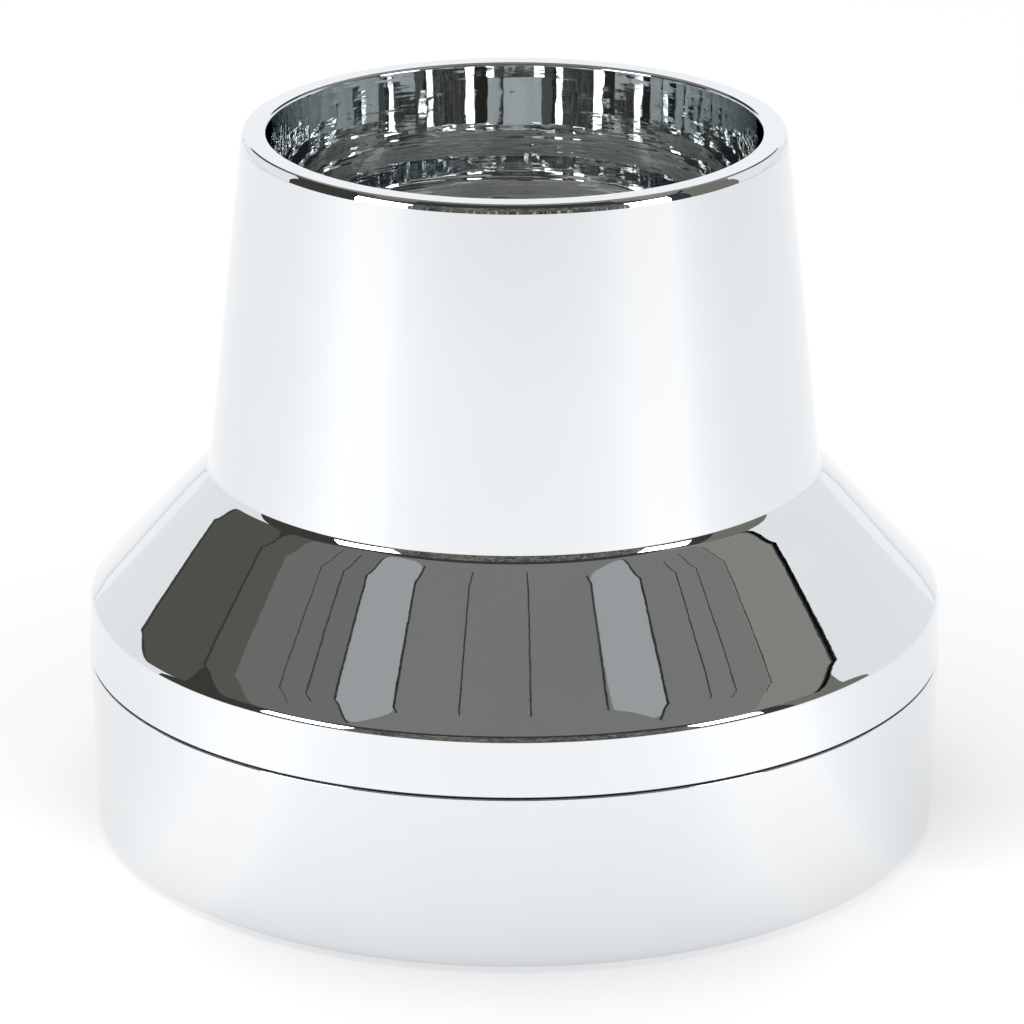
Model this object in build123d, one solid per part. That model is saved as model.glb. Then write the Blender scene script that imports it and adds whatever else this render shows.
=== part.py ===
"""Double-walled champagne bucket with a tapered neck, a sloping shoulder and a wide base.

All sizes are in millimetres. +Z is up and the origin is at the centre of the base, on the
surface that the rubber pads stand on. Every piece is one file in parts/.
"""

from build123d import *
from math import atan2, cos, degrees, radians, sin, tan
import os

# ---- outer body -----------------------------------------------------------------------
body_height = 200.0  # from the underside of the base shell to the top of the rim
neck_top_radius = 75.1
neck_flare = 10.25  # how much the neck's radius grows down to where it meets the shoulder
neck_fillet = 4.5
shoulder_rise = 38.0  # height of the shoulder between its two edges
shoulder_edge_round = 3.4
shoulder_ease_reach = 4.6  # how far the shoulder steepens a little beside both its edges
shoulder_ease = 2.2  # degrees
shoulder_ease_round = 120.0
skirt_height = 16.7  # from the seam to the shoulder's lower edge
skirt_lean = 0.6  # how much the skirt's radius shrinks upwards
seam_radius = 120.0
seam_level = 50.0  # above the underside of the base shell
base_lean = 1.3  # how much the base's radius shrinks downwards
base_edge_round = 4.0
shell_wall = 3.2

# ---- rim, which is the liner's own turned-out flange ------------------------------------
rim_width = 6.8  # from the neck's outside to the mouth, roundings included
rim_outer_round = 0.6
rim_inner_round = 0.9
rim_thickness = 2.4
rim_edge_lean = 0.75  # how far the rim's top edge stays inside the neck's line
rim_belly_lean = 0.05  # the same, halfway down the rim's outer face
rim_belly_round = 4.0

# ---- seam between the two shells ------------------------------------------------------
seam_gap = 0.55  # dark reveal that shows between the shells
seam_edge_round = 0.35
gasket_setback = 0.9  # how far the gasket stays inside the shells' outer face
gasket_clearance = 0.05
tongue_height = 6.0
tongue_wall = 1.4
tongue_clearance = 0.25
tongue_tip_round = 0.4

# ---- liner ----------------------------------------------------------------------------
liner_wall = 1.8
mouth_draft = 2.5  # degrees, narrowing downwards
step_depth = 63.0  # from the top of the rim to the step that steadies the bottle
step_corner = 6.0
step_edge_round = 2.0
step_width = 11.5  # leaves a well 108 mm across for an 88 mm bottle with ice around it
well_draft = 1.0  # degrees, narrowing downwards
well_corner = 12.0
well_floor_level = 16.0  # top of the liner's floor above the underside of the base shell
liner_clearance = 0.5  # between the liner and the inner edge of its seat

# ---- seat at the top of the neck, and its seal ------------------------------------------
seat_thickness = 3.2
seat_gap = 0.05  # the seal lifts the rim this far off the neck
seal_width = 2.2
seal_height = 1.2
seal_side_clearance = 0.1
seal_inset = 1.2  # from the inner edge of the seat to the seal's groove

# ---- base floor, bosses and screws ----------------------------------------------------
base_floor_wall = 3.0
fixing_inset = 22.0  # from the seam's radius to the circle of screws and pads
screw_count = 6
screw_radius = 1.95
screw_head_radius = 3.6
screw_head_height = 2.4
screw_head_round = 0.8
screw_head_seat = 6.0  # plastic left between the screw's head and the boss
screw_bite = 9.0  # thread length inside the boss
screw_drive_width = 1.0
screw_drive_length = 4.2
screw_drive_depth = 1.3
screw_hole_clearance = 0.25
screw_recess_clearance = 0.5
thread_depth = 0.3
pilot_spare_depth = 1.5
boss_radius = 5.2
pillar_radius = 6.6
boss_meeting_drop = 10.0  # from the seam down to where the bosses stand on the pillars

# ---- pads, cushion and insulation -----------------------------------------------------
pad_count = 6
pad_radius = 9.0
pad_recess = 1.4
pad_proud = 0.6
pad_round = 0.3
pad_clearance = 0.2
cushion_width = 12.0
cushion_inset = 1.0  # inside the flat of the liner's underside
cushion_gap = 0.3
rib_height = 3.0
rib_wall = 1.6
rib_clearance = 0.3
insulation_gap = 0.8
insulation_pillar_gap = 3.4
insulation_rise = 16.0  # how far the base's foam ring stands above the seam
insulation_joint = 0.3
insulation_top_drop = 14.0  # from the seat's underside to the top of the neck's foam sleeve

# ---- levels and radii worked out from the sizes above ---------------------------------
shell_bottom = pad_proud
shell_top = shell_bottom + body_height
mouth_radius = neck_top_radius - rim_width
rim_underside = shell_top - rim_thickness
seat_top = rim_underside - seat_gap
seat_underside = seat_top - seat_thickness
seat_radius = mouth_radius + liner_wall / cos(radians(mouth_draft)) + liner_clearance
seam_low = shell_bottom + seam_level
shoulder_edge_z = seam_low + skirt_height
neck_foot_z = shoulder_edge_z + shoulder_rise
neck_foot_radius = neck_top_radius + neck_flare
shoulder_edge_radius = seam_radius - skirt_lean
base_foot_radius = seam_radius - base_lean
seam_high = seam_low + seam_gap
skirt_inner_radius = seam_radius - shell_wall
tongue_outer_radius = skirt_inner_radius + tongue_wall
tongue_top = seam_high + tongue_height
floor_top = shell_bottom + base_floor_wall
boss_meeting_z = seam_low - boss_meeting_drop
head_seat_z = boss_meeting_z - screw_head_seat
step_z = shell_top - step_depth
step_radius = mouth_radius - step_depth * tan(radians(mouth_draft))
well_radius = step_radius - step_width
well_floor_z = shell_bottom + well_floor_level
well_underside = well_floor_z - liner_wall
well_foot_radius = well_radius - (step_z - well_floor_z) * tan(radians(well_draft))
cushion_outer_radius = well_foot_radius - well_corner - cushion_inset
cushion_inner_radius = cushion_outer_radius - cushion_width
fixing_circle_radius = seam_radius - fixing_inset
insulation_radius = fixing_circle_radius - pillar_radius - insulation_pillar_gap
insulation_meeting_z = seam_low + insulation_rise
neck_angle = degrees(atan2(neck_foot_radius - neck_top_radius, shell_top - neck_foot_z))
shoulder_angle = degrees(
    atan2(shoulder_edge_radius - neck_foot_radius, neck_foot_z - shoulder_edge_z)
)
skirt_angle = degrees(atan2(seam_radius - shoulder_edge_radius, shoulder_edge_z - seam_high))
ease_across = shoulder_ease_reach * sin(radians(shoulder_angle - shoulder_ease))
ease_down = shoulder_ease_reach * cos(radians(shoulder_angle - shoulder_ease))


def outline_face(corners):
    """A face on the XZ plane from (radius, height, rounding) corners."""
    outline = Polyline(*[(radius, height) for radius, height, _ in corners], close=True)
    face = make_face(outline)
    for radius, height, rounding in corners:
        if rounding > 0:
            nearest = face.vertices().sort_by_distance(Vector(radius, height, 0))[0]
            face = fillet(nearest, rounding)
    return Plane.XZ * face


def turned(corners):
    """A solid of revolution about +Z from (radius, height, rounding) corners."""
    return revolve(outline_face(corners), Axis.Z)


def post(radius, low, high):
    """A round post about +Z between two levels."""
    return Pos(0, 0, low) * Cylinder(
        radius, high - low, align=(Align.CENTER, Align.CENTER, Align.MIN)
    )


def ring(inner_radius, outer_radius, low, high):
    """A plain ring about +Z between two levels."""
    return post(outer_radius, low, high) - post(inner_radius, low, high)


def around(shape, count, start_angle=0.0):
    """Copies of a shape, evenly spaced on the fixing circle."""
    angles = [start_angle + 360.0 * step / count for step in range(count)]
    return [Rot(0, 0, angle) * Pos(fixing_circle_radius, 0, 0) * shape for angle in angles]


def neck_radius_at(level):
    """The outer radius of the neck's cone at a level."""
    return neck_top_radius + (shell_top - level) * tan(radians(neck_angle))


def inner_corner(radius, level, angle_above, angle_below):
    """Where two sloping walls meet on the inside, one wall thickness in from their outer corner."""
    bend = radians((angle_above + angle_below) / 2)
    half_turn = radians((angle_above - angle_below) / 2)
    offset = shell_wall / cos(half_turn)
    return radius - offset * cos(bend), level - offset * sin(bend)


neck_side = shell_wall / cos(radians(neck_angle))
inner_neck_top = neck_radius_at(seat_underside) - neck_side
inner_neck_foot = inner_corner(neck_foot_radius, neck_foot_z, neck_angle, shoulder_angle)
inner_edge = inner_corner(
    shoulder_edge_radius, shoulder_edge_z, shoulder_angle, skirt_angle
)
rebate_radius = tongue_outer_radius + tongue_clearance
rebate_top = tongue_top + tongue_clearance
pad_start_angle = 180.0 / pad_count


def make_upper_shell():
    """Neck, shoulder and skirt in one moulding, with a seat for the liner and screw bosses."""
    body = turned(
        [
            (seat_radius, seat_top, 0),
            (neck_radius_at(seat_top), seat_top, 0),
            (neck_foot_radius, neck_foot_z, neck_fillet),
            (neck_foot_radius + ease_across, neck_foot_z - ease_down, shoulder_ease_round),
            (
                shoulder_edge_radius - ease_across,
                shoulder_edge_z + ease_down,
                shoulder_ease_round,
            ),
            (shoulder_edge_radius, shoulder_edge_z, shoulder_edge_round),
            (seam_radius, seam_high, seam_edge_round),
            (rebate_radius, seam_high, 0),
            (rebate_radius, rebate_top, 0),
            (skirt_inner_radius, rebate_top, 0),
            (inner_edge[0], inner_edge[1], 0),
            (inner_neck_foot[0], inner_neck_foot[1], neck_fillet),
            (inner_neck_top, seat_underside, 0),
            (seat_radius, seat_underside, 0),
        ]
    )
    room = turned(
        [
            (0, boss_meeting_z, 0),
            (skirt_inner_radius, boss_meeting_z, 0),
            (skirt_inner_radius, rebate_top, 0),
            (inner_edge[0], inner_edge[1], 0),
            (inner_neck_foot[0], inner_neck_foot[1], 0),
            (0, inner_neck_foot[1], 0),
        ]
    )
    for boss in around(post(boss_radius, boss_meeting_z, neck_foot_z), screw_count):
        body += boss & room
    pilot_top = boss_meeting_z + screw_bite + pilot_spare_depth
    for pilot in around(post(screw_radius - thread_depth, boss_meeting_z, pilot_top), screw_count):
        body -= pilot
    groove_low = seat_top - seal_height + seat_gap
    groove_radius = seat_radius + seal_inset
    return body - ring(groove_radius, groove_radius + seal_width, groove_low, seat_top)


def make_rim_seal():
    """A soft ring in the seat's groove that the rim rests on."""
    inner = seat_radius + seal_inset + seal_side_clearance
    outer = seat_radius + seal_inset + seal_width - seal_side_clearance
    return ring(inner, outer, rim_underside - seal_height, rim_underside)


def make_lower_shell():
    """The base cup: wall, floor, locating tongue, screw pillars, ribs and pad recesses."""
    body = turned(
        [
            (0, shell_bottom, 0),
            (base_foot_radius, shell_bottom, base_edge_round),
            (seam_radius, seam_low, seam_edge_round),
            (tongue_outer_radius, seam_low, 0),
            (tongue_outer_radius, tongue_top, tongue_tip_round),
            (skirt_inner_radius, tongue_top, tongue_tip_round),
            (base_foot_radius - shell_wall, floor_top, base_edge_round),
            (0, floor_top, 0),
        ]
    )
    for pillar in around(post(pillar_radius, floor_top, boss_meeting_z), screw_count):
        body += pillar
    recess_radius = screw_head_radius + screw_recess_clearance
    for recess in around(post(recess_radius, shell_bottom, head_seat_z), screw_count):
        body -= recess
    hole_radius = screw_radius + screw_hole_clearance
    for hole in around(post(hole_radius, head_seat_z, boss_meeting_z), screw_count):
        body -= hole
    pad_seat = post(pad_radius + pad_clearance, shell_bottom, shell_bottom + pad_recess)
    for recess in around(pad_seat, pad_count, pad_start_angle):
        body -= recess
    inner_rib = cushion_inner_radius - rib_clearance - rib_wall
    outer_rib = cushion_outer_radius + rib_clearance
    for rib_radius in (inner_rib, outer_rib):
        body += ring(rib_radius, rib_radius + rib_wall, floor_top, floor_top + rib_height)
    return body


def make_seam_gasket():
    """A thin dark ring between the shells, set back from their outer face."""
    outer = seam_radius - gasket_setback
    return ring(tongue_outer_radius + gasket_clearance, outer, seam_low, seam_high)


def make_liner():
    """The stepped liner: rim flange, wide mouth, bottle step and deep well in one piece."""
    mouth_side = liner_wall / cos(radians(mouth_draft))
    well_side = liner_wall / cos(radians(well_draft))
    rim_drop = rim_thickness * tan(radians(mouth_draft))
    step_drop = (step_depth + liner_wall) * tan(radians(mouth_draft))
    return turned(
        [
            (0, well_floor_z, 0),
            (well_foot_radius, well_floor_z, well_corner),
            (well_radius, step_z, step_edge_round),
            (step_radius, step_z, step_corner),
            (mouth_radius, shell_top, rim_inner_round),
            (neck_top_radius - rim_edge_lean, shell_top, rim_outer_round),
            (neck_top_radius - rim_belly_lean, shell_top - rim_thickness / 2, rim_belly_round),
            (neck_radius_at(rim_underside), rim_underside, 0),
            (mouth_radius - rim_drop + mouth_side, rim_underside, 0),
            (mouth_radius - step_drop + mouth_side, step_z - liner_wall, step_corner + liner_wall),
            (well_radius + well_side, step_z - liner_wall, step_edge_round),
            (well_foot_radius + well_side, well_underside, well_corner + liner_wall),
            (0, well_underside, 0),
        ]
    )


def make_liner_cushion():
    """A soft ring on the base's floor, just under the liner."""
    top = well_underside - cushion_gap
    return ring(cushion_inner_radius, cushion_outer_radius, floor_top, top)


def make_base_insulation():
    """A thick foam ring around the lower half of the well."""
    inner = well_radius + liner_wall + insulation_gap + liner_clearance
    return ring(inner, insulation_radius, floor_top, insulation_meeting_z)


def make_neck_insulation():
    """A foam sleeve between the liner and the neck, thick below the liner's step."""
    well_side = well_radius + liner_wall + insulation_gap + liner_clearance
    inner = seat_radius + insulation_gap
    low = insulation_meeting_z + insulation_joint
    ledge = step_z - liner_wall - insulation_gap
    high = seat_underside - insulation_top_drop
    side = neck_side + insulation_gap
    boss_side = fixing_circle_radius - boss_radius - insulation_gap
    outer = min(neck_foot_radius - side, boss_side)
    return turned(
        [
            (well_side, low, 0),
            (outer, low, 0),
            (outer, neck_foot_z, 0),
            (neck_radius_at(high) - side, high, 0),
            (inner, high, 0),
            (inner, ledge, 0),
            (well_side, ledge, 0),
        ]
    )


def make_screw():
    """One pan-head screw, standing on its own axis, with a cross recess in the head."""
    head = fillet(
        post(screw_head_radius, head_seat_z - screw_head_height, head_seat_z)
        .edges()
        .group_by(Axis.Z)[0],
        screw_head_round,
    )
    screw = head + post(screw_radius, head_seat_z, boss_meeting_z + screw_bite)
    drive_z = head_seat_z - screw_head_height + screw_drive_depth / 2
    for angle in (0, 90):
        bar = Box(screw_drive_length, screw_drive_width, screw_drive_depth)
        screw -= Pos(0, 0, drive_z) * Rot(0, 0, angle) * bar
    return screw


def make_pad():
    """One round rubber pad, standing on its own axis."""
    pad = post(pad_radius, 0, pad_proud + pad_recess)
    return fillet(pad.edges().group_by(Axis.Z)[0], pad_round)


parts = {
    "upper_shell": make_upper_shell(),
    "lower_shell": make_lower_shell(),
    "seam_gasket": make_seam_gasket(),
    "liner": make_liner(),
    "rim_seal": make_rim_seal(),
    "liner_cushion": make_liner_cushion(),
    "base_insulation": make_base_insulation(),
    "neck_insulation": make_neck_insulation(),
    "base_screws": Compound(children=around(make_screw(), screw_count)),
    "foot_pads": Compound(children=around(make_pad(), pad_count, pad_start_angle)),
}

os.makedirs("parts", exist_ok=True)
for node, shape in parts.items():
    export_step(shape, f"parts/{node}.step")
    print(node, round(shape.volume / 1000, 2), "cm3")
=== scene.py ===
"""Champagne bucket: plated shells, a stepped liner that lifts out, and a soft studio around them.

Lengths are in metres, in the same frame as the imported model: +Z up, origin under the base.
"""

import logging
import math
from dataclasses import dataclass, field
from enum import Enum
from typing import Iterable, List, Optional, Sequence, Tuple, Union

import bmesh
import bpy
from mathutils import Matrix, Vector


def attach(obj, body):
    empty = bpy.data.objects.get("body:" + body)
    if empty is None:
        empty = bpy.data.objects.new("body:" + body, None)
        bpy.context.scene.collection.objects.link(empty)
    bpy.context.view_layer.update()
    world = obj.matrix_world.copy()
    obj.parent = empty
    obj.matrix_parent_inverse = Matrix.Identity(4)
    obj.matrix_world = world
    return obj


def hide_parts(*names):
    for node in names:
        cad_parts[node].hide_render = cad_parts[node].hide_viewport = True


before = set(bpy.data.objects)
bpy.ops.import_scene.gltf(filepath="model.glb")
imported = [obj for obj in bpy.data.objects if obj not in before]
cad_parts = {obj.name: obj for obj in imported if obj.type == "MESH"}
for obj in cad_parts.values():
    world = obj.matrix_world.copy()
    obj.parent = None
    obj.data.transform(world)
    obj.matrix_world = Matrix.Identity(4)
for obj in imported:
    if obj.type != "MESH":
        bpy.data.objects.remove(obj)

LOG = logging.getLogger("bucket")
MM = 0.001
SPIN_STEPS = 288
ARC_STEPS = 10
POST_SIDES = 48
SHARP_TURN = math.radians(35.0)
MERGE_DISTANCE = 0.002 * MM
Colour = Tuple[float, float, float]


class Slot(Enum):
    """The record's material slot names."""

    SHELL = "shell_chrome"
    LINER = "liner_chrome"


class Body(Enum):
    """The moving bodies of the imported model."""

    BUCKET = "body"
    LINER = "liner"


# ---- node helpers -----------------------------------------------------------------------


class Recipe:
    """A small builder for one procedural material's node tree."""

    def __init__(self, name: str) -> None:
        """Start an empty material with one shader.

        Args:
            name: the material's name.
        """
        self.material = bpy.data.materials.new(name)
        self.material.use_nodes = True
        self.tree = self.material.node_tree
        self.shader = self.tree.nodes["Principled BSDF"]
        self.place = self.tree.nodes.new("ShaderNodeTexCoord").outputs["Object"]

    def node(self, kind: str, **values: object) -> bpy.types.Node:
        """Add a node and set its sockets by name.

        Args:
            kind: the node's type name.
            values: socket names, with spaces as underscores, and their values or links.

        Returns:
            The new node.
        """
        node = self.tree.nodes.new(kind)
        for key, value in values.items():
            self.put(node.inputs[key.replace("_", " ")], value)
        return node

    def put(self, socket: bpy.types.NodeSocket, value: object) -> None:
        """Link a socket to another one, or set its constant.

        Args:
            socket: the socket that is fed.
            value: a socket or a constant.
        """
        if isinstance(value, bpy.types.NodeSocket):
            self.tree.links.new(value, socket)
        else:
            socket.default_value = value

    def stretched(self, scale: Tuple[float, float, float]) -> bpy.types.NodeSocket:
        """Object coordinates scaled by a different amount along each axis.

        Args:
            scale: the factor along X, Y and Z.

        Returns:
            The mapped vector.
        """
        return self.node("ShaderNodeMapping", Vector=self.place, Scale=scale).outputs[0]

    def noise(
        self, scale: float, detail: float = 3.0, where: Optional[bpy.types.NodeSocket] = None
    ) -> bpy.types.NodeSocket:
        """A noise value.

        Args:
            scale: features per metre.
            detail: octaves of finer noise.
            where: the coordinates, or the object's own.

        Returns:
            The noise's value, from 0 to 1.
        """
        made = self.node(
            "ShaderNodeTexNoise", Vector=where or self.place, Scale=scale, Detail=detail
        )
        return made.outputs[0]

    def spread(self, value: bpy.types.NodeSocket, low: float, high: float) -> bpy.types.NodeSocket:
        """Map a value's middle range to a new range.

        Args:
            value: a number that mostly lies between 0.3 and 0.7.
            low: the result at 0.3.
            high: the result at 0.7.

        Returns:
            The mapped value.
        """
        made = self.node(
            "ShaderNodeMapRange", Value=value, From_Min=0.3, From_Max=0.7, To_Min=low, To_Max=high
        )
        return made.outputs[0]

    def bump(
        self,
        height: bpy.types.NodeSocket,
        distance: float,
        strength: float = 1.0,
        below: Optional[bpy.types.NodeSocket] = None,
    ) -> bpy.types.NodeSocket:
        """Turn a height into a surface normal.

        Args:
            height: the height pattern, from 0 to 1.
            distance: the pattern's depth in metres.
            strength: the share of the effect that is used.
            below: a normal that this one is laid over.

        Returns:
            The bumped normal.
        """
        made = self.node("ShaderNodeBump", Height=height, Distance=distance, Strength=strength)
        if below is not None:
            self.tree.links.new(below, made.inputs["Normal"])
        return made.outputs[0]

    def mix(
        self,
        share: bpy.types.NodeSocket,
        first: Union[Colour, bpy.types.NodeSocket],
        second: Colour,
    ) -> bpy.types.NodeSocket:
        """Blend two colours.

        Args:
            share: 0 for the first colour, 1 for the second.
            first: the first colour, or a socket that gives it.
            second: the second colour.

        Returns:
            The blended colour.
        """
        made = self.tree.nodes.new("ShaderNodeMix")
        made.data_type = "RGBA"
        linked = isinstance(first, bpy.types.NodeSocket)
        self.put(made.inputs["Factor"], share)
        self.put(made.inputs[6], first if linked else (*first, 1.0))
        self.put(made.inputs[7], (*second, 1.0))
        return made.outputs[2]

    def even(self, value: bpy.types.NodeSocket) -> bpy.types.NodeSocket:
        """Spread a noise's middle range over 0 to 1."""
        return self.spread(value, 0.0, 1.0)

    def finish(self, **values: object) -> bpy.types.Material:
        """Set the shader's sockets.

        Args:
            values: socket names, with spaces as underscores, and their values or links.

        Returns:
            The finished material.
        """
        for key, value in values.items():
            self.put(self.shader.inputs[key.replace("_", " ")], value)
        return self.material


# ---- finishes ---------------------------------------------------------------------------


@dataclass(frozen=True)
class PlatedShell:
    """Bright chrome plating over moulded plastic, clean and almost flawless."""

    bright: Colour = (0.800, 0.812, 0.820)
    hazy: Colour = (0.780, 0.793, 0.803)
    haze_scale: float = 18.0
    ripple_scale: float = 75.0
    ripple_depth: float = 0.000012
    peel_scale: float = 330.0
    peel_depth: float = 0.0000026
    clean_roughness: float = 0.012
    hazy_roughness: float = 0.03

    def material(self) -> bpy.types.Material:
        """Build the material."""
        recipe = Recipe("plated_shell")
        haze = recipe.noise(self.haze_scale, 4.0)
        ripple = recipe.bump(recipe.noise(self.ripple_scale, 1.0), self.ripple_depth)
        peel = recipe.bump(recipe.noise(self.peel_scale, 2.0), self.peel_depth, below=ripple)
        return recipe.finish(
            Base_Color=recipe.mix(recipe.even(haze), self.bright, self.hazy),
            Metallic=1.0,
            Roughness=recipe.spread(haze, self.clean_roughness, self.hazy_roughness),
            Normal=peel,
        )


@dataclass(frozen=True)
class PlatedLiner:
    """Chrome plating on the liner: mirror bright, rippled around and along its wall."""

    bright: Colour = (0.825, 0.840, 0.850)
    warm: Colour = (0.805, 0.820, 0.814)
    tint_scale: float = 22.0
    ring_scale: Tuple[float, float, float] = (9.0, 9.0, 160.0)
    ring_depth: float = 0.00005
    ripple_scale: float = 90.0
    ripple_depth: float = 0.00003
    clean_roughness: float = 0.008
    dull_roughness: float = 0.022

    def material(self) -> bpy.types.Material:
        """Build the material."""
        recipe = Recipe("plated_liner")
        tint = recipe.noise(self.tint_scale, 3.0)
        rings = recipe.noise(1.0, 3.0, recipe.stretched(self.ring_scale))
        ripple = recipe.bump(recipe.noise(self.ripple_scale, 2.0), self.ripple_depth)
        return recipe.finish(
            Base_Color=recipe.mix(recipe.even(tint), self.bright, self.warm),
            Metallic=1.0,
            Roughness=recipe.spread(tint, self.clean_roughness, self.dull_roughness),
            Normal=recipe.bump(rings, self.ring_depth, below=ripple),
        )


@dataclass(frozen=True)
class MattRubber:
    """Dark or pale moulded rubber with a fine grain and a dusty bloom."""

    name: str
    dark: Colour
    dusty: Colour
    dust_scale: float = 60.0
    grain_scale: float = 900.0
    grain_depth: float = 0.00008
    clean_roughness: float = 0.54
    dusty_roughness: float = 0.72

    def material(self) -> bpy.types.Material:
        """Build the material."""
        recipe = Recipe(self.name)
        dust = recipe.noise(self.dust_scale, 5.0)
        grain = recipe.noise(self.grain_scale, 2.0)
        return recipe.finish(
            Base_Color=recipe.mix(recipe.even(dust), self.dark, self.dusty),
            Roughness=recipe.spread(dust, self.clean_roughness, self.dusty_roughness),
            Normal=recipe.bump(grain, self.grain_depth, 0.5),
        )


@dataclass(frozen=True)
class BeadFoam:
    """White beaded foam: pressed beads of a few millimetres with darker joints."""

    bead: Colour = (0.86, 0.86, 0.83)
    joint: Colour = (0.68, 0.68, 0.64)
    bead_scale: float = 260.0
    joint_depth: float = 0.0006
    roughness: float = 0.85
    glow_depth: float = 0.004

    def material(self) -> bpy.types.Material:
        """Build the material."""
        recipe = Recipe("bead_foam")
        cells = recipe.node("ShaderNodeTexVoronoi", Vector=recipe.place, Scale=self.bead_scale)
        edge = recipe.even(cells.outputs["Distance"])
        return recipe.finish(
            Base_Color=recipe.mix(edge, self.bead, self.joint),
            Roughness=self.roughness,
            Subsurface_Weight=0.15,
            Subsurface_Scale=self.glow_depth,
            Normal=recipe.bump(cells.outputs["Distance"], -self.joint_depth, 0.8),
        )


@dataclass(frozen=True)
class ZincSteel:
    """Zinc-plated screw steel with faint cloudy spangle."""

    pale: Colour = (0.66, 0.67, 0.68)
    dull: Colour = (0.48, 0.49, 0.50)
    cloud_scale: float = 700.0
    cloud_depth: float = 0.00003
    pale_roughness: float = 0.28
    dull_roughness: float = 0.45

    def material(self) -> bpy.types.Material:
        """Build the material."""
        recipe = Recipe("zinc_steel")
        cloud = recipe.noise(self.cloud_scale, 4.0)
        return recipe.finish(
            Base_Color=recipe.mix(recipe.even(cloud), self.pale, self.dull),
            Metallic=1.0,
            Roughness=recipe.spread(cloud, self.pale_roughness, self.dull_roughness),
            Normal=recipe.bump(cloud, self.cloud_depth, 0.4),
        )


# ---- turned shapes ----------------------------------------------------------------------


@dataclass(frozen=True)
class Corner:
    """One corner of a turned outline: radius, height and rounding."""

    radius: float
    height: float
    rounding: float = 0.0

    def point(self) -> Vector:
        """The corner's place on the XZ plane."""
        return Vector((self.radius, 0.0, self.height))


def bevel_reach(before: Vector, here: Vector, after: Vector, rounding: float) -> float:
    """How far a rounding reaches along both lines of a corner.

    Args:
        before: the corner before.
        here: the rounded corner.
        after: the corner after.
        rounding: the rounding's radius.

    Returns:
        The distance from the corner to where the rounding starts.
    """
    turn = (here - before).angle(after - here)
    return rounding * math.tan(turn / 2.0)


def turn_outline(corners: Sequence[Corner], longest: float) -> bmesh.types.BMesh:
    """Spin an outline about +Z into a closed mesh.

    Args:
        corners: the outline, which starts and ends on the axis or closes on itself.
        longest: the longest stretch between rings.

    Returns:
        The spun mesh, with its normals outwards.
    """
    mesh = bmesh.new()
    points = [corner.point() for corner in corners]
    made = [mesh.verts.new(point) for point in points]
    on_axis = corners[0].radius == 0.0
    count = len(made)
    for index in range(count - 1 if on_axis else count):
        mesh.edges.new((made[index], made[(index + 1) % count]))
    for index, corner in enumerate(corners):
        if corner.rounding > 0.0:
            before, after = points[index - 1], points[(index + 1) % count]
            bmesh.ops.bevel(
                mesh,
                geom=[made[index]],
                offset=bevel_reach(before, points[index], after, corner.rounding),
                offset_type="OFFSET",
                segments=ARC_STEPS,
                profile=0.5,
                affect="VERTICES",
                material=-1,
                clamp_overlap=False,
            )
    for edge in list(mesh.edges):
        cuts = int(edge.calc_length() / longest)
        if cuts > 0:
            bmesh.ops.subdivide_edges(mesh, edges=[edge], cuts=cuts)
    bmesh.ops.spin(
        mesh,
        geom=mesh.verts[:] + mesh.edges[:],
        cent=(0.0, 0.0, 0.0),
        axis=(0.0, 0.0, 1.0),
        angle=math.tau,
        steps=SPIN_STEPS,
        use_merge=True,
    )
    bmesh.ops.remove_doubles(mesh, verts=mesh.verts[:], dist=MERGE_DISTANCE)
    bmesh.ops.recalc_face_normals(mesh, faces=mesh.faces[:])
    return mesh


@dataclass(frozen=True)
class Posts:
    """Round posts or cuts of one kind, evenly spaced on a circle about +Z."""

    radius: float
    low: float
    high: float
    operation: str
    between: bool = False

    def mesh(self, count: int, circle: float) -> bmesh.types.BMesh:
        """Build all the posts as closed cylinders.

        Args:
            count: how many posts.
            circle: the circle's radius.

        Returns:
            The posts' mesh.
        """
        made = bmesh.new()
        start = math.pi / count if self.between else 0.0
        middle = (self.low + self.high) / 2.0
        for index in range(count):
            turn = Matrix.Rotation(start + math.tau * index / count, 4, "Z")
            bmesh.ops.create_cone(
                made,
                cap_ends=True,
                segments=POST_SIDES,
                radius1=self.radius,
                radius2=self.radius,
                depth=self.high - self.low,
                matrix=turn @ Matrix.Translation((circle, 0.0, middle)),
            )
        return made


def as_object(name: str, mesh: bmesh.types.BMesh) -> bpy.types.Object:
    """Turn a bmesh into a smooth-shaded object at the origin.

    Args:
        name: the object's name.
        mesh: the mesh, which is freed.

    Returns:
        The new object.
    """
    data = bpy.data.meshes.new(name)
    mesh.to_mesh(data)
    mesh.free()
    shade(data)
    made = bpy.data.objects.new(name, data)
    bpy.context.scene.collection.objects.link(made)
    return made


def shade(data: bpy.types.Mesh) -> None:
    """Shade a mesh smooth, and keep the edges sharp that turn more than SHARP_TURN."""
    data.shade_smooth()
    data.set_sharp_from_angle(angle=SHARP_TURN)


def combine(piece: bpy.types.Object, tool: bmesh.types.BMesh, operation: str) -> None:
    """Add a mesh to a piece or cut it away.

    Args:
        piece: the piece that changes.
        tool: the mesh that is added or cut away, which is freed.
        operation: UNION or DIFFERENCE.
    """
    cutter = as_object(piece.name + "_tool", tool)
    change = piece.modifiers.new("change", "BOOLEAN")
    change.operation = operation
    change.solver = "EXACT"
    change.object = cutter
    shown = piece.evaluated_get(bpy.context.evaluated_depsgraph_get())
    data = bpy.data.meshes.new_from_object(shown)
    piece.modifiers.clear()
    piece.data = data
    bpy.data.objects.remove(cutter)
    shade(data)


def steady_normals(piece: bpy.types.Object) -> None:
    """Let large faces set the shading, so that flats reflect as flats."""
    steady = piece.modifiers.new("steady_normals", "WEIGHTED_NORMAL")
    steady.keep_sharp = True
    steady.weight = 100


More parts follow.
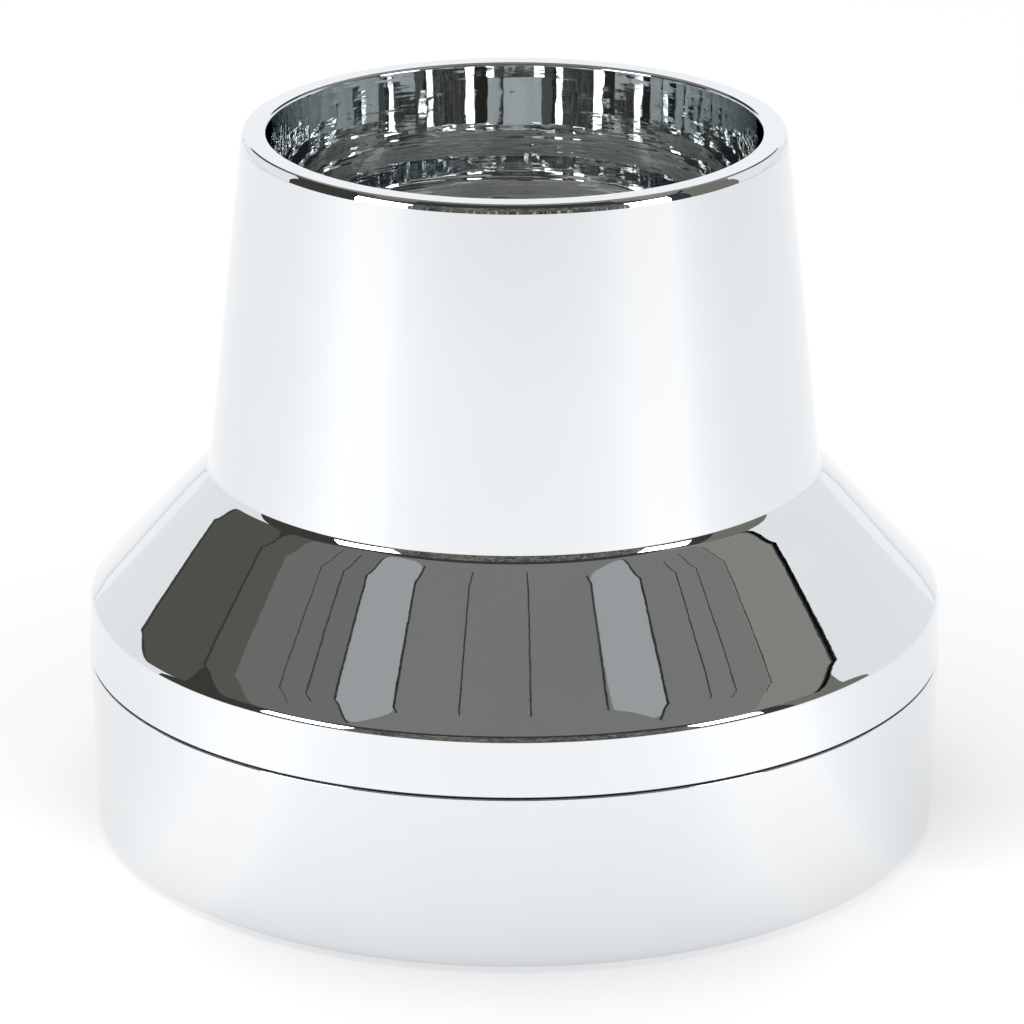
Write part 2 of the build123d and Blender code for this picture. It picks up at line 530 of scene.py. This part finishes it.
def dress(piece: bpy.types.Object, material: bpy.types.Material) -> None:
    """Give an object one material in place of what it had."""
    piece.data.materials.clear()
    piece.data.materials.append(material)


# ---- pieces of the bucket ---------------------------------------------------------------


@dataclass
class OuterShells:
    """The two plated shells: neck, shoulder and skirt above the seam, and the base below it."""

    finish: PlatedShell = field(default_factory=PlatedShell)
    wall: float = 3.2 * MM
    longest: float = 6.0 * MM
    top: float = 200.6 * MM
    neck_top: float = 75.1 * MM
    neck_foot: float = 85.35 * MM
    neck_fillet: float = 4.5 * MM
    neck_base: float = 105.3 * MM
    shoulder_foot: float = 119.4 * MM
    shoulder_round: float = 3.4 * MM
    ease_reach: float = 4.6 * MM
    ease: float = math.radians(2.2)
    ease_round: float = 120.0 * MM
    skirt_top: float = 67.3 * MM
    inner_foot: float = 82.13 * MM
    inner_drop: float = 2.4 * MM
    inner_top: float = 72.45 * MM
    seat_inner: float = 70.6 * MM
    seat_top: float = 198.15 * MM
    groove_inner: float = 71.8 * MM
    groove_outer: float = 74.0 * MM
    groove_floor: float = 197.0 * MM
    seam_radius: float = 120.0 * MM
    seam_round: float = 0.35 * MM
    seam_low: float = 50.6 * MM
    seam_high: float = 51.15 * MM
    rebate_radius: float = 118.45 * MM
    rebate_rise: float = 6.25 * MM
    tongue_radius: float = 118.2 * MM
    tongue_rise: float = 6.0 * MM
    tongue_round: float = 0.4 * MM
    underside: float = 0.6 * MM
    floor_wall: float = 3.0 * MM
    base_foot: float = 118.7 * MM
    base_round: float = 4.0 * MM
    fixing_circle: float = 98.0 * MM
    fixing_count: int = 6
    screw_pillars: Posts = Posts(6.6 * MM, 3.0 * MM, 40.6 * MM, "UNION")
    head_recesses: Posts = Posts(4.1 * MM, -2.0 * MM, 34.6 * MM, "DIFFERENCE")
    screw_holes: Posts = Posts(2.2 * MM, 30.0 * MM, 42.0 * MM, "DIFFERENCE")
    pad_recesses: Posts = Posts(9.2 * MM, -2.0 * MM, 2.0 * MM, "DIFFERENCE", between=True)

    def upper(self) -> bpy.types.Object:
        """Build the neck, shoulder and skirt as one closed skin.

        Returns:
            The upper shell's object.
        """
        seat = self.seat_top
        underside = seat - self.wall
        rebate = self.seam_high + self.rebate_rise
        slope = math.atan2(self.shoulder_foot - self.neck_foot, self.neck_base - self.skirt_top)
        across = self.ease_reach * math.sin(slope - self.ease)
        down = self.ease_reach * math.cos(slope - self.ease)
        outline = [
            Corner(self.seat_inner, seat),
            Corner(self.groove_inner, seat),
            Corner(self.groove_inner, self.groove_floor),
            Corner(self.groove_outer, self.groove_floor),
            Corner(self.groove_outer, seat),
            Corner(self.neck_at(seat), seat),
            Corner(self.neck_foot, self.neck_base, self.neck_fillet),
            Corner(self.neck_foot + across, self.neck_base - down, self.ease_round),
            Corner(self.shoulder_foot - across, self.skirt_top + down, self.ease_round),
            Corner(self.shoulder_foot, self.skirt_top, self.shoulder_round),
            Corner(self.seam_radius, self.seam_high, self.seam_round),
            Corner(self.rebate_radius, self.seam_high),
            Corner(self.rebate_radius, rebate),
            Corner(self.seam_radius - self.wall, rebate),
            Corner(self.shoulder_foot - self.wall, self.skirt_top - self.inner_drop),
            Corner(self.inner_foot, self.neck_base - self.inner_drop, self.neck_fillet),
            Corner(self.inner_top, underside),
            Corner(self.seat_inner, underside),
        ]
        return as_object("upper_shell_skin", turn_outline(outline, self.longest))

    def lower(self) -> bpy.types.Object:
        """Build the base cup with its tongue, screw pillars and the recesses underneath.

        Returns:
            The lower shell's object.
        """
        inside = self.seam_radius - self.wall
        floor = self.underside + self.floor_wall
        tip = self.seam_high + self.tongue_rise
        outline = [
            Corner(0.0, self.underside),
            Corner(self.base_foot, self.underside, self.base_round),
            Corner(self.seam_radius, self.seam_low, self.seam_round),
            Corner(self.tongue_radius, self.seam_low),
            Corner(self.tongue_radius, tip, self.tongue_round),
            Corner(inside, tip, self.tongue_round),
            Corner(self.base_foot - self.wall, floor, self.base_round),
            Corner(0.0, floor),
        ]
        made = as_object("lower_shell_skin", turn_outline(outline, self.longest))
        for posts in (
            self.screw_pillars,
            self.head_recesses,
            self.screw_holes,
            self.pad_recesses,
        ):
            combine(made, posts.mesh(self.fixing_count, self.fixing_circle), posts.operation)
        return made

    def neck_at(self, level: float) -> float:
        """The neck's outer radius at a level.

        Args:
            level: the height above the ground.

        Returns:
            The radius.
        """
        share = (self.top - level) / (self.top - self.neck_base)
        return self.neck_top + share * (self.neck_foot - self.neck_top)

    def build(self) -> List[bpy.types.Object]:
        """Build and dress both shells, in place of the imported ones.

        Returns:
            The two shells' objects.
        """
        material = self.finish.material()
        shells = [self.upper(), self.lower()]
        for shell, node in zip(shells, ("upper_shell", "lower_shell")):
            dress(shell, material)
            steady_normals(shell)
            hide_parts(node)
            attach(shell, Body.BUCKET.value)
            LOG.info("%s: %d faces", shell.name, len(shell.data.polygons))
        return shells


@dataclass
class SteppedLiner:
    """The one-piece liner: turned-out rim, wide mouth, bottle step and deep well."""

    finish: PlatedLiner = field(default_factory=PlatedLiner)
    longest: float = 5.0 * MM
    rim_edge: float = 74.35 * MM
    rim_belly: float = 75.05 * MM
    rim_foot: float = 75.36 * MM
    collar: float = 70.0 * MM
    mouth: float = 68.3 * MM
    mouth_draft: float = math.radians(2.5)
    top: float = 200.6 * MM
    rim_underside: float = 198.2 * MM
    outer_round: float = 0.6 * MM
    inner_round: float = 0.9 * MM
    belly_round: float = 4.0 * MM
    wall: float = 1.8 * MM
    step: float = 137.6 * MM
    step_corner: float = 6.0 * MM
    step_edge: float = 2.0 * MM
    well: float = 54.05 * MM
    well_foot: float = 51.94 * MM
    well_corner: float = 12.0 * MM
    well_floor: float = 16.6 * MM

    def build(self) -> bpy.types.Object:
        """Build and dress the liner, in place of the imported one.

        Returns:
            The liner's object.
        """
        draft = math.tan(self.mouth_draft)
        step_radius = self.mouth - (self.top - self.step) * draft
        step_under = self.mouth - (self.top - self.step + self.wall) * draft + self.wall
        under = self.well_floor - self.wall
        outline = [
            Corner(0.0, self.well_floor),
            Corner(self.well_foot, self.well_floor, self.well_corner),
            Corner(self.well, self.step, self.step_edge),
            Corner(step_radius, self.step, self.step_corner),
            Corner(self.mouth, self.top, self.inner_round),
            Corner(self.rim_edge, self.top, self.outer_round),
            Corner(self.rim_belly, (self.top + self.rim_underside) / 2, self.belly_round),
            Corner(self.rim_foot, self.rim_underside),
            Corner(self.collar, self.rim_underside),
            Corner(step_under, self.step - self.wall, self.step_corner + self.wall),
            Corner(self.well + self.wall, self.step - self.wall, self.step_edge),
            Corner(self.well_foot + self.wall, under, self.well_corner + self.wall),
            Corner(0.0, under),
        ]
        liner = as_object("liner_skin", turn_outline(outline, self.longest))
        dress(liner, self.finish.material())
        steady_normals(liner)
        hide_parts("liner")
        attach(liner, Body.LINER.value)
        LOG.info("%s: %d faces", liner.name, len(liner.data.polygons))
        return liner


@dataclass
class SoftParts:
    """Gasket, seal, pads, screws and foam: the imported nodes, dressed with their materials."""

    rubber: MattRubber = field(
        default_factory=lambda: MattRubber("gasket_rubber", (0.018, 0.018, 0.02), (0.05, 0.05, 0.05))
    )
    pads: MattRubber = field(
        default_factory=lambda: MattRubber("pad_rubber", (0.03, 0.03, 0.032), (0.09, 0.088, 0.085))
    )
    seal: MattRubber = field(
        default_factory=lambda: MattRubber("seal_silicone", (0.42, 0.43, 0.42), (0.5, 0.5, 0.48))
    )
    foam: BeadFoam = field(default_factory=BeadFoam)
    steel: ZincSteel = field(default_factory=ZincSteel)

    def dress_nodes(self) -> None:
        """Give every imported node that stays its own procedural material."""
        finishes = {
            "seam_gasket": self.rubber.material(),
            "rim_seal": self.seal.material(),
            "foot_pads": self.pads.material(),
            "base_screws": self.steel.material(),
        }
        foam = self.foam.material()
        for node in ("liner_cushion", "base_insulation", "neck_insulation"):
            finishes[node] = foam
        for node, material in finishes.items():
            dress(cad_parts[node], material)
            LOG.info("%s dressed with %s", node, material.name)


# ---- studio -----------------------------------------------------------------------------


def glow_material(name: str, colour: Colour) -> bpy.types.Material:
    """An evenly glowing material.

    Args:
        name: the material's name.
        colour: the light it gives off.

    Returns:
        The material.
    """
    material = bpy.data.materials.new(name)
    material.use_nodes = True
    tree = material.node_tree
    tree.nodes.clear()
    output = tree.nodes.new("ShaderNodeOutputMaterial")
    emission = tree.nodes.new("ShaderNodeEmission")
    emission.inputs["Color"].default_value = (*colour, 1.0)
    tree.links.new(emission.outputs[0], output.inputs["Surface"])
    return material


def polar(azimuth: float, elevation: float, distance: float) -> Vector:
    """A point at an azimuth from the camera's side of the bucket.

    Args:
        azimuth: degrees from the camera's direction, to the right when positive.
        elevation: degrees above the ground.
        distance: metres from the origin.

    Returns:
        The point.
    """
    turn, rise = math.radians(azimuth), math.radians(elevation)
    flat = distance * math.cos(rise)
    return Vector((flat * math.sin(turn), -flat * math.cos(turn), distance * math.sin(rise)))


@dataclass(frozen=True)
class Tile:
    """One flat stretch of ceiling, with its sides and its front as shares of the ceiling's height."""

    left: float
    right: float
    glow: Colour
    front: float = -0.80
    drop: float = 0.0
    rounding: float = 0.0


@dataclass(frozen=True)
class Seam:
    """One dark joint in the ceiling: its place and its front as shares of the ceiling's height."""

    place: float
    width: float
    front: float


STRIP_GLOW: Colour = (0.385, 0.405, 0.410)
TILES = (
    Tile(-1.44, -1.24, (0.110, 0.108, 0.096)),
    Tile(-1.24, -0.725, (0.175, 0.178, 0.166)),
    Tile(-0.725, -0.475, STRIP_GLOW, -0.50, 0.01, 0.12),
    Tile(-0.725, 0.61, (0.215, 0.218, 0.208)),
    Tile(0.365, 0.61, STRIP_GLOW, -0.50, 0.01, 0.12),
    Tile(0.61, 1.10, (0.215, 0.218, 0.205)),
    Tile(1.10, 1.50, (0.270, 0.270, 0.245)),
)
SEAMS = (
    Seam(-0.985, 0.014, -0.24),
    Seam(-0.855, 0.018, -0.30),
    Seam(-0.725, 0.026, -0.50),
    Seam(-0.475, 0.026, -0.50),
    Seam(-0.215, 0.016, -0.56),
    Seam(0.065, 0.016, -0.58),
    Seam(0.365, 0.024, -0.50),
    Seam(0.61, 0.028, -0.50),
    Seam(0.80, 0.016, -0.30),
    Seam(0.92, 0.014, -0.24),
    Seam(1.10, 0.016, -0.10),
)
# The floor's glow by azimuth, in degrees from the camera's side of the bucket: the peaks at -56 and
# 58 degrees are a painted reflection of the two softboxes, and the glow is dimmer towards the back.
FLOOR_GLOW_AND_PAINTED_GLINTS = (
    (-180.0, 0.75),
    (-130.0, 0.75),
    (-95.0, 0.78),
    (-75.0, 0.92),
    (-56.0, 1.12),
    (-42.0, 0.90),
    (-20.0, 0.87),
    (0.0, 0.86),
    (32.0, 0.88),
    (58.0, 1.14),
    (72.0, 0.90),
    (92.0, 0.77),
    (135.0, 0.75),
    (180.0, 0.75),
)
DOWN = Vector((0.0, 0.0, -1.0))
BACKWARDS = Vector((0.0, 1.0, 0.0))
FORWARDS = Vector((0.0, -1.0, 0.0))
TO_RIGHT = Vector((1.0, 0.0, 0.0))
TO_LEFT = Vector((-1.0, 0.0, 0.0))


@dataclass
class Studio:
    """The surroundings: a pale floor, a dim ceiling with two bright strips, walls and softboxes."""

    height: float = 2.40
    level: float = 2.49
    ceiling_rear: float = 2.9
    seam_glow: Colour = (0.035, 0.035, 0.032)
    left_wall: float = -3.50
    right_wall: float = 3.66
    back: float = 6.0
    wall_start: float = 0.9
    band_foot: float = 1.64
    white: Colour = (0.90, 0.93, 0.95)
    band: Colour = (0.100, 0.098, 0.082)
    near_right: Colour = (0.19, 0.19, 0.165)
    near_left: Colour = (0.05, 0.05, 0.043)
    backdrop: Colour = (1.00, 1.02, 1.05)
    joint_glow: Colour = (0.004, 0.004, 0.004)
    box_glow: Colour = (7.0, 7.0, 7.0)
    box_height: float = 0.65
    box_elevation: float = 20.0
    box_distance: float = 2.3
    room: Colour = (0.045, 0.046, 0.050)
    panels: List[bpy.types.Object] = field(default_factory=list)

    def panel(
        self,
        centre: Vector,
        size: Tuple[float, float],
        facing: Vector,
        material: bpy.types.Material,
        rounding: float = 0.0,
    ) -> None:
        """Place one flat panel that only mirrors show, named after its material.

        Args:
            centre: its middle.
            size: its width and its height or depth.
            facing: the way it faces.
            material: the light it gives off.
            rounding: the radius of its corners.
        """
        mesh = bmesh.new()
        bmesh.ops.create_grid(mesh, x_segments=1, y_segments=1, size=0.5)
        bmesh.ops.scale(mesh, vec=(*size, 1.0), verts=mesh.verts[:])
        if rounding > 0.0:
            bmesh.ops.bevel(
                mesh,
                geom=mesh.verts[:],
                offset=rounding,
                segments=8,
                profile=0.5,
                affect="VERTICES",
                material=-1,
            )
        turn = facing.to_track_quat("Z", "Y").to_matrix().to_4x4()
        bmesh.ops.transform(mesh, matrix=Matrix.Translation(centre) @ turn, verts=mesh.verts[:])
        made = as_object(material.name, mesh)
        dress(made, material)
        made.visible_camera = False
        made.visible_diffuse = False
        made.visible_shadow = False
        self.panels.append(made)

    def overhead(self) -> None:
        """The ceiling's stretches, its two bright strips and its dark seams."""
        for index, tile in enumerate(TILES):
            left, right = self.height * tile.left, self.height * tile.right
            front = self.height * tile.front
            middle = (front + self.ceiling_rear) / 2
            centre = Vector(((left + right) / 2, middle, self.level - tile.drop))
            size = (right - left, self.ceiling_rear - front)
            glow = glow_material(f"ceiling_{index}", tile.glow)
            self.panel(centre, size, DOWN, glow, tile.rounding)
        for index, seam in enumerate(SEAMS):
            front = self.height * seam.front
            middle = (front + self.ceiling_rear) / 2
            centre = Vector((self.height * seam.place, middle, self.level - 0.02))
            size = (seam.width, self.ceiling_rear - front)
            self.panel(centre, size, DOWN, glow_material(f"seam_{index}", self.seam_glow))

    def far_walls(self) -> None:
        """White walls towards the back, a dark band over the left one, and a white backdrop."""
        long = self.back - self.wall_start
        middle = self.wall_start + long / 2
        top = self.level
        centre = Vector((self.right_wall, middle, top / 2))
        self.panel(centre, (long, top), TO_LEFT, glow_material("wall_right", self.white))
        left_top = 1.60
        centre = Vector((self.left_wall, middle, left_top / 2))
        self.panel(centre, (long, left_top), TO_RIGHT, glow_material("wall_left", self.white))
        centre = Vector((self.left_wall, middle, (self.band_foot + top) / 2))
        size = (long, top - self.band_foot)
        self.panel(centre, size, TO_RIGHT, glow_material("band_left", self.band))
        width = self.right_wall - self.left_wall + 0.1
        centre = Vector(((self.left_wall + self.right_wall) / 2, self.back, top / 2))
        self.panel(centre, (width, top), FORWARDS, glow_material("backdrop", self.backdrop))

    def near_walls(self) -> None:
        """Dim walls beside the bucket, and a black joint where each meets the ceiling."""
        size = (1.8, self.level)
        centre = Vector((self.right_wall, 0.0, self.level / 2))
        self.panel(centre, size, TO_LEFT, glow_material("near_right", self.near_right))
        centre = Vector((self.left_wall, 0.0, self.level / 2))
        self.panel(centre, size, TO_RIGHT, glow_material("near_left", self.near_left))
        joint_size = (4.0, 0.06)
        for name, place, facing in (("left", -1.46, TO_RIGHT), ("right", 1.515, TO_LEFT)):
            centre = Vector((self.height * place, 1.0, self.level - 0.03))
            glow = glow_material(f"joint_{name}", self.joint_glow)
            self.panel(centre, joint_size, facing, glow)

    def front_wall(self) -> None:
        """A dim, cluttered wall behind the camera, with glints in it."""
        recipe = Recipe("front_wall")
        broad = recipe.even(recipe.noise(1.3, 2.0))
        fine = recipe.spread(recipe.noise(11.0, 6.0), -1.7, 1.7)
        glints = recipe.node("ShaderNodeMath")
        glints.operation = "POWER"
        recipe.put(glints.inputs[0], fine)
        recipe.put(glints.inputs[1], 5.0)
        base = recipe.mix(broad, (0.045, 0.044, 0.042), (0.150, 0.140, 0.128))
        material = recipe.finish(
            Base_Color=(0.0, 0.0, 0.0, 1.0),
            Specular_IOR_Level=0.0,
            Emission_Color=recipe.mix(glints.outputs[0], base, (0.45, 0.45, 0.43)),
            Emission_Strength=1.0,
        )
        self.panel(Vector((0.0, -3.4, 1.3)), (7.4, 2.3), BACKWARDS, material)

    def softboxes(self) -> None:
        """Two bright boxes in front, to the left and right of the camera."""
        for name, azimuth, width in (("left", -56.0, 0.95), ("right", 57.0, 0.75)):
            centre = polar(azimuth, self.box_elevation, self.box_distance)
            glow = glow_material(f"softbox_{name}", self.box_glow)
            self.panel(centre, (width, self.box_height), -centre, glow)

    def floor(self) -> None:
        """A plain pale floor that glows softly, with painted glints of the two softboxes in its glow
        and a painted contact shadow that makes it dimmer under the bucket and just around it.
        """
        mesh = bmesh.new()
        bmesh.ops.create_grid(mesh, x_segments=1, y_segments=1, size=9.0)
        made = as_object("floor", mesh)
        recipe = Recipe("pale_floor")
        quarter = (0.0, 0.0, math.pi / 2)
        turned = recipe.node("ShaderNodeMapping", Vector=recipe.place, Rotation=quarter)
        sweep = recipe.node("ShaderNodeTexGradient", Vector=turned.outputs[0])
        sweep.gradient_type = "RADIAL"
        # Glow by azimuth, with a painted reflection of the softboxes where it rises towards their
        # azimuths.
        glow_and_painted_glints = recipe.node("ShaderNodeValToRGB", Fac=sweep.outputs[1])
        glow_and_painted_glints.color_ramp.interpolation = "B_SPLINE"
        stops = glow_and_painted_glints.color_ramp.elements
        for azimuth, _ in FLOOR_GLOW_AND_PAINTED_GLINTS[1:-1]:
            stops.new(azimuth / 360.0 + 0.5)
        for stop, (_, tone) in zip(stops, FLOOR_GLOW_AND_PAINTED_GLINTS):
            stop.color = (tone - 0.01, tone, tone + 0.012, 1.0)
        # Painted contact shadow: the glow drops to 0.86 of itself within 0.12 m of the bucket's axis
        # and is full again by 0.27 m.
        reach = recipe.node("ShaderNodeVectorMath", Vector=recipe.place)
        reach.operation = "LENGTH"
        painted_contact_shadow = recipe.node(
            "ShaderNodeMapRange",
            Value=reach.outputs["Value"],
            From_Min=0.12,
            From_Max=0.27,
            To_Min=0.86,
            To_Max=1.0,
        )
        material = recipe.finish(
            Base_Color=(0.30, 0.30, 0.30, 1.0),
            Specular_IOR_Level=0.0,
            Roughness=0.8,
            Emission_Color=glow_and_painted_glints.outputs[0],
            Emission_Strength=painted_contact_shadow.outputs[0],
        )
        dress(made, material)

    def sky(self) -> None:
        """A large soft lamp overhead that the chrome doesn't show."""
        data = bpy.data.lights.new("sky", "AREA")
        data.shape = "DISK"
        data.size = 3.6
        data.energy = 105.0
        lamp = bpy.data.objects.new("sky", data)
        lamp.location = (-0.5, 0.4, 3.0)
        lamp.rotation_euler = (-lamp.location).to_track_quat("-Z", "Y").to_euler()
        lamp.visible_glossy = False
        lamp.visible_camera = False
        bpy.context.scene.collection.objects.link(lamp)

    def world(self) -> None:
        """A dim room around the panels, faintly blue."""
        world = bpy.data.worlds.new("room")
        world.use_nodes = True
        background = world.node_tree.nodes["Background"]
        background.inputs["Color"].default_value = (*self.room, 1.0)
        background.inputs["Strength"].default_value = 1.0
        bpy.context.scene.world = world

    def camera(self) -> None:
        """The camera, looking down at the bucket from in front."""
        data = bpy.data.cameras.new("camera")
        data.lens = 202.85
        data.sensor_width = 36.0
        data.clip_start = 0.05
        data.clip_end = 60.0
        made = bpy.data.objects.new("camera", data)
        made.location = (-0.0007, -1.5284, 0.6307)
        made.rotation_euler = (math.pi / 2 - 0.3408, 0.0, 0.0)
        bpy.context.scene.collection.objects.link(made)
        bpy.context.scene.camera = made

    def light_paths(self) -> None:
        """Plain tones, and enough mirror bounces for the inside of the liner."""
        scene = bpy.context.scene
        scene.view_settings.view_transform = "Standard"
        scene.cycles.max_bounces = 24
        scene.cycles.glossy_bounces = 24
        scene.cycles.caustics_reflective = False

    def build(self) -> None:
        """Build the whole studio."""
        self.overhead()
        self.far_walls()
        self.near_walls()
        self.front_wall()
        self.softboxes()
        self.floor()
        self.sky()
        self.world()
        self.camera()
        self.light_paths()
        LOG.info("studio: %d panels", len(self.panels))


def main() -> None:
    """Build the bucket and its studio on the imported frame."""
    logging.basicConfig(level=logging.INFO, format="%(name)s %(message)s")
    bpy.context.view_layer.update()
    OuterShells().build()
    SteppedLiner().build()
    SoftParts().dress_nodes()
    Studio().build()


if __name__ == "__main__":
    main()
